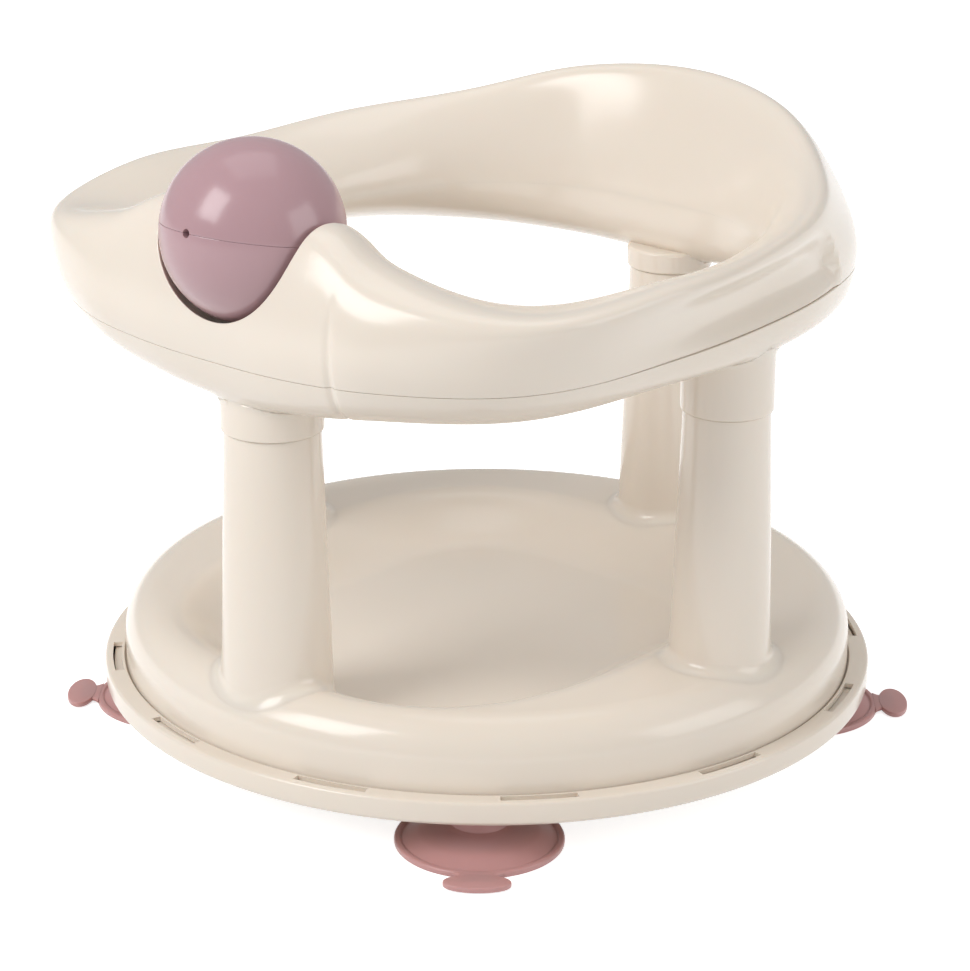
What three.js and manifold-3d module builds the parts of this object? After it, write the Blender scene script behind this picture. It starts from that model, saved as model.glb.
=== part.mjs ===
// Baby bath ring: a seat disc that swivels on a base held by four suction cups. Four hollow posts
// carry a ring that holds the child, and a play ball rolls in a socket at the ring's front.
// Millimetres, +Z up, front towards -Y. Azimuths are degrees from the front towards +X.
import * as THREE from "three";
import { mergeVertices } from "three/addons/utils/BufferGeometryUtils.js";
import Module from "manifold-3d";

const wasm = await Module();
wasm.setup();

// Clearances and overruns shared by all pieces
const faceGap = 0.3; // between pieces that touch or are clamped together
const runningGap = 0.5; // between pieces that turn on each other
const overrun = 4; // how far a cut runs past the faces it opens
const weldDistance = 0.001; // vertices closer than this are one

// Base tray
const baseRadius = 172.5;
const baseBottom = 20.6; // above the floor, carried by the cups
const baseTop = 31;
const plateThickness = 2.6;
const rimThickness = 2.5;
const rimEdgeRadius = 1.4;
const ledgeThickness = 2;
const ledgeWidth = 8.6; // from the rim's outer face inwards
const trackInset = 7.9; // from the rim's outer face to the rib that the disc slides on
const trackWidth = 2.4;
const windowCount = 12;
const windowAzimuth = 47.94;
const windowLength = 32;
const windowWidth = 4.2;
const windowFromEdge = 5.6; // from the rim's outer face to the window's middle
const hubLandDepth = 0.4; // shallow recess below, in which the swivel washer turns
const hubLandMargin = 4; // how much wider it is than the washer

// Suction cups
const cupCount = 4;
const cupAzimuth = 39.36;
const cupInset = 29.8; // from the rim's outer face to the cup's own axis
const cupRadius = 35.6;
const cupLip = 2.6;
const cupHeight = 15.7;
const cupWall = 2.4;
const cupCrownRadius = 11;
const cupHollowHeight = 10.5;
const cupBendShare = 0.72; // where the dome bends, as a share of its inner radius
const stemRadius = 5.6;
const stemHeadRadius = 9;
const stemHeadHeight = 5.5;
const cupBossRadius = 14;
const cupBossTipRadius = 11;
const tabOverhang = 5.4; // from the cup's rim to the middle of the pull tab
const tabNeckWidth = 14;
const tabLength = 30;
const tabWidth = 14;
const tabThickness = 3;
const tabLift = 0.6;

// Seat disc
const ledgeGap = 0.9; // between the disc's wall and the tray's ledge
const seatRadius = baseRadius - ledgeWidth - ledgeGap;
const seatWall = 2.6;
const seatTop = 60;
const seatShoulder = 17;
const flangeSideGap = 1.5; // between the disc's flange and the inside of the rim
const flangeThickness = 2.2;
const dishSideLand = 50; // flat land left between the dish and the disc's wall
const dishFrontLand = 19;
const dishDepth = 18.5;
const dishSlopeWidth = 40;
const dishSquareness = 2.85; // exponent of the dish's rounded-square outline
const dishShares = [
  [1, 0], // each point's share of the slope's width, from its foot, and of the dish's depth
  [0.8, 0.07],
  [0.55, 0.42],
  [0.3, 0.83],
  [0, 1],
];

// Seam between the ring's two shells: the posts' joints and the ball are placed from it
const seamHeight = 205; // outer parting of the two shells at the front

// Swivel at the middle of the disc
const hubRadius = 12;
const hubDrop = 0.3; // how far the hub reaches below the tray's recess
const hubBottom = baseBottom + hubLandDepth - hubDrop;
const swivelWasherRadius = 20;
const swivelWasherThickness = 2.2;
const swivelShankRadius = 2.8;
const swivelShankLength = 15;
const swivelHeadRadius = 6.5;
const swivelHeadHeight = 2.6;

// Posts, moulded in one with the disc
const frontPostInset = 27; // from the disc's wall to the post's own axis
const postInset = 32.5;
const frontPostRadius = 20.2; // at the top joint
const postRadius = 18.4;
const frontPostDrop = 37; // from the seam down to the joint with the ring's collar
const sidePostDrop = 34;
const backPostDrop = 25;
const postFlare = 3.4; // how much wider the foot is than the top
const footFillet = 5;
const postRoot = 40; // lower end of the post's skirt under the disc
const postWall = 2.6;
const spigotStep = 2.2; // how far the spigot is drawn in from the post's face
const spigotHeight = 13;
const backSpigotHeight = 7;
const spigotCap = 3.2;

// Ring
const ringOverhang = 25; // how far it reaches past the disc's wall, at the front corners
const ringRadius = seatRadius + ringOverhang;
const ringRise = 67; // from the seam to the top of the backrest
const ringWall = 2.6;
const stationAngles = [0, 17, 25, 45, 67.5, 90, 112.5, 135, 157.5, 180];
// One row for each corner of the ring's section, one column for each station.
const reachShares = [
  [0.888, 0.925, 0.957, 0.97, 0.85, 0.798, 0.803, 0.862, 0.9, 0.91], // outer parting
  [0.894, 0.936, 0.975, 0.985, 0.86, 0.782, 0.798, 0.851, 0.9, 0.91], // waist
  [0.856, 0.894, 0.935, 1, 0.895, 0.793, 0.782, 0.798, 0.846, 0.867], // roll
  [0.755, 0.782, 0.803, 0.867, 0.809, 0.766, 0.755, 0.75, 0.75, 0.755], // crest
  [0.521, 0.585, 0.66, 0.702, 0.665, 0.628, 0.649, 0.686, 0.702, 0.691], // inner slope
  [0.5, 0.564, 0.628, 0.676, 0.612, 0.585, 0.601, 0.638, 0.649, 0.633], // inner parting
  [0.553, 0.596, 0.649, 0.713, 0.66, 0.644, 0.665, 0.691, 0.681, 0.649], // inner keel
  [0.803, 0.84, 0.88, 0.89, 0.812, 0.793, 0.798, 0.824, 0.84, 0.835], // outer keel
];
const riseShares = [
  [0.015, 0.03, 0.045, 0.06, 0.09, 0.12, 0.105, 0.075, 0.03, 0.015],
  [0.254, 0.254, 0.254, 0.254, 0.254, 0.254, 0.254, 0.284, 0.343, 0.373],
  [0.642, 0.627, 0.522, 0.455, 0.5, 0.493, 0.537, 0.567, 0.68, 0.701],
  [0.813, 0.78, 0.582, 0.48, 0.552, 0.552, 0.627, 0.761, 0.93, 1],
  [0.672, 0.627, 0.463, 0.358, 0.343, 0.343, 0.418, 0.537, 0.627, 0.657],
  [0.104, 0.104, 0.104, 0.104, 0.104, 0.104, 0.104, 0.104, 0.104, 0.104],
  [-0.224, -0.239, -0.239, -0.209, -0.119, -0.045, -0.055, -0.139, -0.225, -0.27],
  [-0.284, -0.269, -0.245, -0.18, -0.11, -0.075, -0.119, -0.224, -0.284, -0.299],
];
const innerPartingRow = 5; // rows before it are the upper shell's, rows from it on the lower's
const creaseAzimuth = 20.2; // groove at the right end of the pod that carries the ball
const creaseHalfAngle = 1.2;
const creaseDepth = 2;
const recessDepth = 4; // hollow along the outside of each arm
const recessStart = 60;
const recessEnd = 131;
const recessFade = 16; // degrees over which the hollow fades in and out
const recessRow = 1; // the hollow's middle is on the waist row
const recessHalfRows = 0.9;

// Collars under the ring, which the post spigots fill
const collarStep = 1.2; // how far the collar is proud of the post
const collarRise = 3; // how far they run above the seam inside the lower shell
const collarLid = 2.6; // closes the back one, which stands inside the ring's opening

// Play ball
const ballRadius = 37.7;
const ballSetback = 5.3; // from the ring's greatest radius back to the ball's face
const ballLift = 10.5; // from the seam up to the ball's lowest point
const ballForward = ringRadius - ballSetback - ballRadius;
const ballHeight = seamHeight + ballLift + ballRadius;
const ballWall = 2.5;
const ballTilt = 10.2; // of the parting plane, front up
const ballLipHeight = 2;
const ballLipThickness = 1.6;
const ballDrainRadius = 1.5;
const socketGap = 2.5;
const socketWall = 2.6;
const axleRadius = 2;
const axleProud = 5.5; // how far each of its ends stands out of the ball
const axleReach = ballRadius + axleProud; // half its length
const axleBossRadius = 4.6;
const axleBossWall = 1.6; // beyond the axle's end

// Self-tapping screws
const screwShankRadius = 1.7;
const screwHeadRadius = 3.6;
const screwHeadHeight = 2.4;
const screwSlotDepth = 1.2;
const screwSlotWidth = 1;
const screwLength = 14;
const screwBite = 12; // how deep the hole is in the boss above
const screwBossRadius = 5.2;
const ringScrewAzimuth = 45;
const ringScrewFrontShare = 0.8; // of the ring's greatest radius
const ringScrewBackShare = 0.77;
const ringScrewDrop = 7; // from the seam down to the lower boss's top face
const ringScrewSeat = seamHeight - ringScrewDrop;
const ringScrewBossRadius = 6.4;
const ringScrewFloor = 3; // material under that face, which the head bears on
const ringBossRise = 57; // above the seam: the upper bosses run into the roof, which trims them

// Facets
const ringStep = 9; // degrees between columns of the ring and the disc
const roundSides = 48;
const postSides = 16;
const cupSides = 24;
const ballSides = 24;
const ballBands = 12;
const smallSides = 12;
const screwSides = 8;

const cream = new THREE.MeshStandardMaterial({ color: 0xe9dfd2, roughness: 0.3, metalness: 0 });
const creamLight = new THREE.MeshStandardMaterial({ color: 0xece3d8, roughness: 0.3, metalness: 0 });
const pink = new THREE.MeshStandardMaterial({ color: 0xc7a2a6, roughness: 0.25, metalness: 0 });
const pinkRubber = new THREE.MeshStandardMaterial({ color: 0xc79fa2, roughness: 0.45, metalness: 0 });
const steel = new THREE.MeshStandardMaterial({ color: 0xb9bbbd, roughness: 0.35, metalness: 1 });

const radians = THREE.MathUtils.degToRad;
const fullTurn = 360;

// A boolean solid from a closed geometry, with its faces turned outwards.
function solid(geometry) {
  const bare = geometry.clone();
  bare.deleteAttribute("normal");
  bare.deleteAttribute("uv");
  const merged = mergeVertices(bare, weldDistance);
  const corners = merged.index.array;
  const faces = [];
  for (let i = 0; i < corners.length; i += 3) {
    const [a, b, c] = corners.subarray(i, i + 3);
    if (a !== b && b !== c && c !== a) faces.push(a, b, c);
  }
  const build = (triangles) =>
    new wasm.Manifold(
      new wasm.Mesh({
        numProp: 3,
        vertProperties: new Float32Array(merged.attributes.position.array),
        triVerts: new Uint32Array(triangles),
      }),
    );
  const made = build(faces);
  return made.volume() < 0 ? build(faces.reverse()) : made;
}

// A closed solid from rings of points, each ring closed, and the last joined back to the first.
function lofted(rings) {
  const count = rings[0].length;
  const faces = [];
  for (let i = 0; i < rings.length; i++) {
    const next = (i + 1) % rings.length;
    for (let j = 0; j < count; j++) {
      const k = (j + 1) % count;
      faces.push(i * count + j, i * count + k, next * count + k);
      faces.push(i * count + j, next * count + k, next * count + j);
    }
  }
  const geometry = new THREE.BufferGeometry().setFromPoints(rings.flat());
  geometry.setIndex(faces);
  return solid(geometry);
}

// A solid of revolution about +Z from [radius, height] points.
function turned(outline, sides) {
  const points = outline.map(([radius, height]) => new THREE.Vector2(radius, height));
  return solid(new THREE.LatheGeometry(points, sides).rotateX(Math.PI / 2));
}

// A cylinder or cone about +Z between two heights.
function drum(bottom, top, bottomRadius, sides, topRadius = bottomRadius) {
  return turned([[0, bottom], [bottomRadius, bottom], [topRadius, top], [0, top]], sides);
}

function box(width, depth, height) {
  return solid(new THREE.BoxGeometry(width, depth, height));
}

function polar(radius, azimuth, height = 0) {
  const angle = radians(azimuth);
  return new THREE.Vector3(radius * Math.sin(angle), -radius * Math.cos(angle), height);
}

function moved(shape, place) {
  return shape.translate([place.x, place.y, place.z]);
}

// Turned about +Z so that what faced the front faces the azimuth.
function facing(shape, azimuth) {
  return shape.rotate([0, 0, azimuth]);
}

function alongX(shape) {
  return shape.rotate([0, 90, 0]);
}

function azimuthsOf(count, first) {
  return Array.from({ length: count }, (_, i) => first + (i * fullTurn) / count);
}

const model = new THREE.Group();

function addPiece(name, shape, material) {
  const made = shape.getMesh();
  const geometry = new THREE.BufferGeometry();
  geometry.setAttribute("position", new THREE.BufferAttribute(made.vertProperties, 3));
  geometry.setIndex(new THREE.BufferAttribute(made.triVerts, 1));
  geometry.computeVertexNormals();
  const mesh = new THREE.Mesh(geometry, material);
  mesh.name = name;
  model.add(mesh);
}

// Hermite curve through uneven knots: the value at one place between knots[i] and knots[i + 1].
function curveThrough(values, knots, i, at) {
  const span = knots[i + 1] - knots[i];
  const t = (at - knots[i]) / span;
  const leaving = ((values[i + 1] - values[i - 1]) / (knots[i + 1] - knots[i - 1])) * span;
  const arriving = ((values[i + 2] - values[i]) / (knots[i + 2] - knots[i])) * span;
  const t2 = t * t;
  const t3 = t2 * t;
  return (
    (2 * t3 - 3 * t2 + 1) * values[i] +
    (t3 - 2 * t2 + t) * leaving +
    (3 * t2 - 2 * t3) * values[i + 1] +
    (t3 - t2) * arriving
  );
}

// A row of shares at an azimuth, with the stations mirrored to both sides of the front.
function shareAt(row, azimuth) {
  const turn = THREE.MathUtils.euclideanModulo(azimuth, fullTurn);
  const side = Math.min(turn, fullTurn - turn);
  const knots = [-stationAngles[1], ...stationAngles, fullTurn - stationAngles.at(-2)];
  const values = [row[1], ...row, row.at(-2)];
  let i = 1;
  while (i < stationAngles.length - 1 && side > knots[i + 1]) i++;
  return curveThrough(values, knots, i, side);
}

// The ring's section at an azimuth, as a closed curve through its corners, at a row between them.
function sectionPoint(azimuth, row) {
  const count = reachShares.length;
  const i = Math.floor(row);
  const corners = [-1, 0, 1, 2].map((k) => THREE.MathUtils.euclideanModulo(i + k, count));
  const along = (shares) => {
    const values = corners.map((k) => shareAt(shares[k], azimuth));
    return curveThrough(values, [-1, 0, 1, 2], 1, row - i);
  };
  return polar(
    along(reachShares) * ringRadius,
    azimuth,
    seamHeight + along(riseShares) * ringRise,
  );
}

function fadedWindow(value, from, to, fade) {
  const past = (edge) => THREE.MathUtils.smoothstep(value, edge - fade / 2, edge + fade / 2);
  return past(from) - past(to);
}

// How far the ring's skin is pressed in: the arms' long hollows, and the crease beside the pod.
function dentDepth(azimuth, row) {
  const count = reachShares.length;
  const turn = THREE.MathUtils.euclideanModulo(azimuth, fullTurn);
  const side = Math.min(turn, fullTurn - turn);
  const nearest = row > count / 2 ? row - count : row;
  const across = Math.max(0, 1 - Math.abs((nearest - recessRow) / recessHalfRows));
  const recess = recessDepth * across * fadedWindow(side, recessStart, recessEnd, recessFade);
  const groove = Math.max(0, 1 - Math.abs(turn - creaseAzimuth) / creaseHalfAngle);
  return recess + creaseDepth * groove * fadedWindow(nearest, -1, 2, 1);
}

// A point of the ring's skin, sunk below it by a depth measured square to it.
function skinPoint(azimuth, row, depth) {
  const step = 0.01;
  const around = sectionPoint(azimuth + 1, row).sub(sectionPoint(azimuth - 1, row));
  const across = sectionPoint(azimuth, row + step).sub(sectionPoint(azimuth, row - step));
  const inwards = across.cross(around).normalize();
  return sectionPoint(azimuth, row).addScaledVector(inwards, depth + dentDepth(azimuth, row));
}

// Azimuths of the ring's columns: an even step, with three more at the crease.
function ringAzimuths() {
  const crease = [-1, 0, 1].map((k) => creaseAzimuth + k * creaseHalfAngle);
  const even = azimuthsOf(Math.round(fullTurn / ringStep), 0);
  return [...even, ...crease].sort((a, b) => a - b);
}

// Rings of skin points from one row to another, in equal steps.
function skinRings(from, to, steps, depth, drop) {
  return Array.from({ length: steps + 1 }, (_, i) => {
    const row = from + ((to - from) * i) / steps;
    return ringAzimuths().map((azimuth) => {
      const point = skinPoint(azimuth, row, depth);
      point.z -= drop;
      return point;
    });
  });
}

// One shell of the ring between two partings, and the full body that its skin encloses.
function ringShell(from, to, drop) {
  const skin = skinRings(from, to, 2 * (to - from), 0, drop);
  const lining = skinRings(to, from, to - from, ringWall, drop);
  return { shell: lofted([...skin, ...lining]), body: lofted(skin) };
}

const plainPost = {
  distance: seatRadius - postInset,
  radius: postRadius,
  joint: seamHeight - sidePostDrop,
  spigot: spigotHeight,
  lidded: false,
};
const frontPost = {
  ...plainPost,
  distance: seatRadius - frontPostInset,
  radius: frontPostRadius,
  joint: seamHeight - frontPostDrop,
};
const backPost = {
  ...plainPost,
  joint: seamHeight - backPostDrop,
  spigot: backSpigotHeight,
  lidded: true,
};
const posts = [
  { ...frontPost, name: "front", azimuth: 0 },
  { ...plainPost, name: "right", azimuth: 90 },
  { ...backPost, name: "back", azimuth: 180 },
  { ...plainPost, name: "left", azimuth: 270 },
];

const ringScrews = azimuthsOf(4, ringScrewAzimuth).map((azimuth, i) => ({
  azimuth,
  distance: ringRadius * (i === 0 || i === 3 ? ringScrewFrontShare : ringScrewBackShare),
}));

const cupPlaces = azimuthsOf(cupCount, cupAzimuth).map((azimuth) => ({
  azimuth,
  place: polar(baseRadius - cupInset, azimuth),
}));

// Tray: plate, rim and ledge in one turned section, with cup bosses below and windows in the ledge.
function baseTray() {
  const plateTop = baseBottom + plateThickness;
  const rimInside = baseRadius - rimThickness;
  const ledgeEdge = baseRadius - ledgeWidth;
  const trackRadius = baseRadius - trackInset;
  const trackTop = baseTop - ledgeThickness - flangeThickness - runningGap - faceGap;
  const hubHole = hubRadius + runningGap;
  const landRadius = swivelWasherRadius + hubLandMargin;
  const outline = [
    [hubHole, baseBottom + hubLandDepth],
    [landRadius, baseBottom + hubLandDepth],
    [landRadius, baseBottom],
    [baseRadius - rimEdgeRadius, baseBottom],
    [baseRadius, baseBottom + rimEdgeRadius],
    [baseRadius, baseTop - rimEdgeRadius],
    [baseRadius - rimEdgeRadius, baseTop],
    [ledgeEdge, baseTop],
    [ledgeEdge, baseTop - ledgeThickness],
    [rimInside, baseTop - ledgeThickness],
    [rimInside, plateTop],
    [trackRadius + trackWidth / 2, plateTop],
    [trackRadius + trackWidth / 2, trackTop],
    [trackRadius - trackWidth / 2, trackTop],
    [trackRadius - trackWidth / 2, plateTop],
    [hubHole, plateTop],
    [hubHole, baseBottom + hubLandDepth],
  ];
  let tray = turned(outline, roundSides);
  const bossBottom = cupHeight + faceGap;
  for (const { place } of cupPlaces) {
    const boss = drum(bossBottom, plateTop, cupBossTipRadius, smallSides * 2, cupBossRadius);
    const hole = drum(bossBottom - overrun, plateTop + overrun, stemRadius + faceGap, smallSides * 2);
    tray = tray.add(moved(boss, place)).subtract(moved(hole, place));
  }
  for (const azimuth of azimuthsOf(windowCount, windowAzimuth)) {
    const cutter = box(windowLength, windowWidth, ledgeThickness + overrun);
    const middle = new THREE.Vector3(0, windowFromEdge - baseRadius, baseTop);
    tray = tray.subtract(facing(moved(cutter, middle), azimuth));
  }
  return tray;
}

// Suction cup with its stem, the stem's head above the tray's plate, and the pull tab.
function suctionCup() {
  const headSeat = baseBottom + plateThickness + faceGap;
  const lipInside = cupRadius - cupWall;
  const outline = [
    [0, cupHollowHeight],
    [cupCrownRadius, cupHollowHeight - cupWall / 2],
    [lipInside * cupBendShare, cupHollowHeight / 2],
    [lipInside, 0],
    [cupRadius, 0],
    [cupRadius, cupLip],
    [lipInside * cupBendShare + cupWall / 2, cupHollowHeight / 2 + cupWall],
    [cupCrownRadius + cupWall, cupHollowHeight + cupWall / 2],
    [cupCrownRadius, cupHeight],
    [stemRadius, cupHeight],
    [stemRadius, headSeat],
    [stemHeadRadius, headSeat],
    [stemRadius, headSeat + stemHeadHeight],
    [0, headSeat + stemHeadHeight],
  ];
  const reach = cupRadius + tabOverhang;
  const paddle = drum(tabLift, tabLift + tabThickness, tabLength / 2, cupSides);
  const flat = moved(paddle.scale([1, tabWidth / tabLength, 1]), new THREE.Vector3(0, -reach, 0));
  const neckPlace = new THREE.Vector3(0, -reach / 2, tabLift + tabThickness / 2);
  const neck = moved(box(tabNeckWidth, reach, tabThickness), neckPlace);
  const hollow = drum(-overrun, tabLift + tabThickness + overrun, lipInside, cupSides);
  const tab = flat.add(neck).subtract(hollow);
  return turned(outline, cupSides).add(tab);
}

// Distance from the swivel axis to the dish's edge at an azimuth: a rounded square, longer in front.
function dishEdge(azimuth) {
  const side = seatRadius - dishSideLand;
  const ahead = Math.cos(radians(azimuth));
  const across = Math.abs(Math.sin(radians(azimuth))) / side;
  const along = Math.abs(ahead) / (ahead > 0 ? seatRadius - dishFrontLand : side);
  return (across ** dishSquareness + along ** dishSquareness) ** (-1 / dishSquareness);
}

// The disc's outline at an azimuth, from the middle of its underside round to the middle of its top.
function seatOutline(azimuth) {
  const edge = dishEdge(azimuth);
  const under = seatTop - seatWall;
  const slope = (drop) =>
    dishShares.map(([out, depth]) => [
      edge - dishSlopeWidth * (1 - out),
      seatTop - drop - dishDepth * depth,
    ]);
  const innerRadius = seatRadius - seatWall;
  const shoulder = (radius) =>
    [0, 30, 60, 90].map((angle) => [
      seatRadius - seatShoulder + radius * Math.sin(radians(angle)),
      seatTop - seatShoulder + radius * Math.cos(radians(angle)),
    ]);
  const flangeBottom = baseTop - ledgeThickness - flangeThickness - runningGap;
  const flangeTop = flangeBottom + flangeThickness;
  const flangeReach = baseRadius - rimThickness - flangeSideGap;
  return [
    [0, under - dishDepth],
    ...slope(seatWall).reverse(),
    ...shoulder(seatShoulder - seatWall),
    [innerRadius, flangeBottom],
    [flangeReach, flangeBottom],
    [flangeReach, flangeTop],
    [seatRadius, flangeTop],
    ...shoulder(seatShoulder).reverse(),
    ...slope(0),
    [0, seatTop - dishDepth],
  ];
}

// A post's outer solid: skirt, foot fillet, slight taper, shoulder and spigot.
function postSolid({ radius, joint, spigot }) {
  const foot = radius + postFlare;
  return turned(
    [
      [0, postRoot],
      [foot + footFillet / 2, postRoot],
      [foot + footFillet / 2, seatTop],
      [foot, seatTop + footFillet],
      [radius, joint],
      [radius - spigotStep, joint],
      [radius - spigotStep, joint + spigot],
      [0, joint + spigot],
    ],
    postSides,
  );
}

// What is hollow inside a post, open below.
function postHollow({ radius, joint, spigot }) {
  const inside = radius - spigotStep - postWall;
  return turned(
    [
      [0, postRoot - overrun],
      [radius + postFlare - postWall, postRoot - overrun],
      [radius + postFlare - postWall, seatTop],
      [inside, joint - postWall],
      [inside, joint + spigot - spigotCap],
      [0, joint + spigot - spigotCap],
    ],
    postSides,
  );
}

function seatDisc() {
  const columns = azimuthsOf(Math.round(fullTurn / ringStep), 0);
  const outlines = columns.map(seatOutline);
  const rings = outlines[0].map((_, i) =>
    columns.map((azimuth, j) => polar(outlines[j][i][0], azimuth, outlines[j][i][1])),
  );
  const floorUnder = seatTop - dishDepth - seatWall / 2;
  let disc = lofted(rings).add(drum(hubBottom, floorUnder, hubRadius, smallSides * 2));
  disc = disc.subtract(
    drum(hubBottom - overrun, hubBottom + swivelShankLength, swivelShankRadius + faceGap, smallSides),
  );
  for (const post of posts) {
    const place = polar(post.distance, post.azimuth);
    const holeTop = post.joint + post.spigot + overrun;
    const hole = drum(post.joint, holeTop, screwShankRadius + faceGap, smallSides);
    disc = disc.add(moved(postSolid(post), place));
    disc = disc.subtract(moved(postHollow(post), place)).subtract(moved(hole, place));
  }
  return disc;
}

// A screw standing on its head, head bottom at zero height, with a cross slot in the head.
function screw(headRadius, headHeight, shankRadius, length) {
  const body = turned(
    [
      [0, 0],
      [headRadius - headHeight / 3, 0],
      [headRadius, headHeight / 3],
      [headRadius, headHeight],
      [shankRadius, headHeight],
      [shankRadius, headHeight + length - shankRadius],
      [0, headHeight + length],
    ],
    screwSides,
  );
  const slot = box(headRadius, screwSlotWidth, screwSlotDepth * 2);
  return body.subtract(slot).subtract(facing(slot, 90));
}

// A self-tapping screw put in from below, its head bearing on a face at the given height.
function screwUnder(azimuth, distance, face) {
  const made = screw(screwHeadRadius, screwHeadHeight, screwShankRadius, screwLength);
  return moved(made, polar(distance, azimuth, face - faceGap - screwHeadHeight));
}

// Lower shell: keel, collars for the posts and bosses that the ring screws bear on.
function ringLowerShell() {
  const { shell, body } = ringShell(innerPartingRow, reachShares.length, faceGap);
  let lower = shell;
  for (const post of posts) {
    const place = polar(post.distance, post.azimuth);
    const bottom = post.joint + faceGap;
    const boreTop = post.lidded ? bottom + post.spigot : seamHeight + collarRise;
    const top = post.lidded ? boreTop + collarLid : boreTop;
    const collar = drum(bottom, top, post.radius + collarStep, postSides);
    const bore = drum(bottom - overrun, boreTop, post.radius - spigotStep + faceGap, postSides);
    const bossHole = drum(boreTop - overrun, seamHeight + overrun, screwBossRadius + faceGap, postSides);
    lower = lower.add(moved(collar, place)).subtract(moved(bore.add(bossHole), place));
  }
  for (const { azimuth, distance } of ringScrews) {
    const place = polar(distance, azimuth);
    const floor = ringScrewSeat - ringScrewFloor;
    const boss = moved(drum(seamHeight - ringRise, ringScrewSeat, ringScrewBossRadius, smallSides), place);
    const pocket = drum(seamHeight - ringRise, floor, screwHeadRadius + faceGap, smallSides);
    const hole = drum(floor - overrun, ringScrewSeat + overrun, screwShankRadius + faceGap, smallSides);
    lower = lower.add(boss.intersect(body));
    lower = lower.subtract(moved(pocket, place)).subtract(moved(hole, place));
  }
  return lower;
}

// Upper shell: skin, ball socket with its axle bosses, and bosses that take the screws from below.
function ringUpperShell() {
  const { shell, body } = ringShell(0, innerPartingRow, 0);
  const ballPlace = new THREE.Vector3(0, -ballForward, ballHeight);
  const room = ballRadius + socketGap;
  const sphere = (radius) =>
    moved(solid(new THREE.SphereGeometry(radius, ballSides, ballBands)), ballPlace);
  const bossReach = axleReach + faceGap + axleBossWall;
  const axleBoss = alongX(drum(-bossReach, bossReach, axleBossRadius, smallSides));
  const bore = alongX(drum(-axleReach - faceGap, axleReach + faceGap, axleRadius + faceGap, smallSides));
  let inner = sphere(room + socketWall).add(moved(axleBoss, ballPlace));
  const bosses = [
    ...posts.map((post) => ({ ...post, seat: post.joint + post.spigot + faceGap })),
    ...ringScrews.map((place) => ({ ...place, seat: ringScrewSeat + faceGap })),
  ];
  for (const { azimuth, distance, seat } of bosses) {
    const boss = drum(seat, seamHeight + ringBossRise, screwBossRadius, smallSides);
    inner = inner.add(moved(boss, polar(distance, azimuth)));
  }
  const roofed = body.add(belowParting());
  let upper = shell.add(inner.intersect(roofed));
  for (const { azimuth, distance, seat } of bosses) {
    const hole = drum(seat - overrun, seat + screwBite, screwShankRadius + faceGap, smallSides);
    upper = upper.subtract(moved(hole, polar(distance, azimuth)));
  }
  return upper.subtract(sphere(room)).subtract(moved(bore, ballPlace));
}

// The bosses hang below the upper shell's parting: the columns they may fill there.
function belowParting() {
  const spots = [...posts, ...ringScrews];
  const lowest = Math.min(...posts.map((post) => post.joint));
  return spots
    .map(({ azimuth, distance }) =>
      moved(drum(lowest, seamHeight + ringRise / 4, screwBossRadius, smallSides), polar(distance, azimuth)),
    )
    .reduce((all, one) => all.add(one));
}

// Ball halves in the ball's own frame, parting plane level, centre at the origin.
function ballHalf(upper) {
  const inside = ballRadius - ballWall;
  const arc = (radius, from, to, steps) =>
    Array.from({ length: steps + 1 }, (_, i) => {
      const angle = radians(from + ((to - from) * i) / steps);
      return [radius * Math.cos(angle), radius * Math.sin(angle)];
    });
  const bands = ballBands / 2;
  const cut = THREE.MathUtils.radToDeg(Math.asin(faceGap / 2 / ballRadius));
  const skin = arc(ballRadius, cut, 90, bands + 1);
  const lining = arc(inside, 90, cut, bands);
  skin.at(-1)[0] = 0;
  lining[0][0] = 0;
  if (upper) return turned([...lining, ...skin], ballSides);
  const lipOut = inside - faceGap;
  const lip = [
    [lipOut, -ballLipHeight],
    [lipOut, ballLipHeight],
    [lipOut - ballLipThickness, ballLipHeight],
    [lipOut - ballLipThickness, -ballLipHeight * 2],
    [inside, -ballLipHeight * 2],
  ];
  const mirrored = (points) => points.map(([radius, height]) => [radius, -height]);
  const ring = turned([...lip, [inside + ballWall / 2, -ballLipHeight], lip[0]], ballSides);
  return turned([...mirrored(lining), ...mirrored(skin)], ballSides).add(ring);
}

function ballPiece(upper) {
  const bore = alongX(drum(-ballRadius - overrun, ballRadius + overrun, axleRadius + faceGap, smallSides));
  const drain = drum(0, ballRadius + overrun, ballDrainRadius, smallSides).rotate([90, 0, 0]);
  const half = ballHalf(upper).subtract(bore).subtract(drain);
  return moved(half.rotate([-ballTilt, 0, 0]), new THREE.Vector3(0, -ballForward, ballHeight));
}

function swivelWasher() {
  const top = hubBottom - faceGap;
  const bottom = top - swivelWasherThickness;
  const hole = drum(bottom - overrun, top + overrun, swivelShankRadius + faceGap, smallSides);
  return drum(bottom, top, swivelWasherRadius, smallSides * 2).subtract(hole);
}

function swivelScrew() {
  const head = hubBottom - 2 * faceGap - swivelWasherThickness - swivelHeadHeight;
  const made = screw(swivelHeadRadius, swivelHeadHeight, swivelShankRadius, swivelShankLength);
  return moved(made, new THREE.Vector3(0, 0, head));
}

// Axle fixed in the socket's bosses; the ball's halves run on it.
function ballAxle() {
  const pin = alongX(drum(-axleReach, axleReach, axleRadius, smallSides));
  return moved(pin, new THREE.Vector3(0, -ballForward, ballHeight));
}

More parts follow.
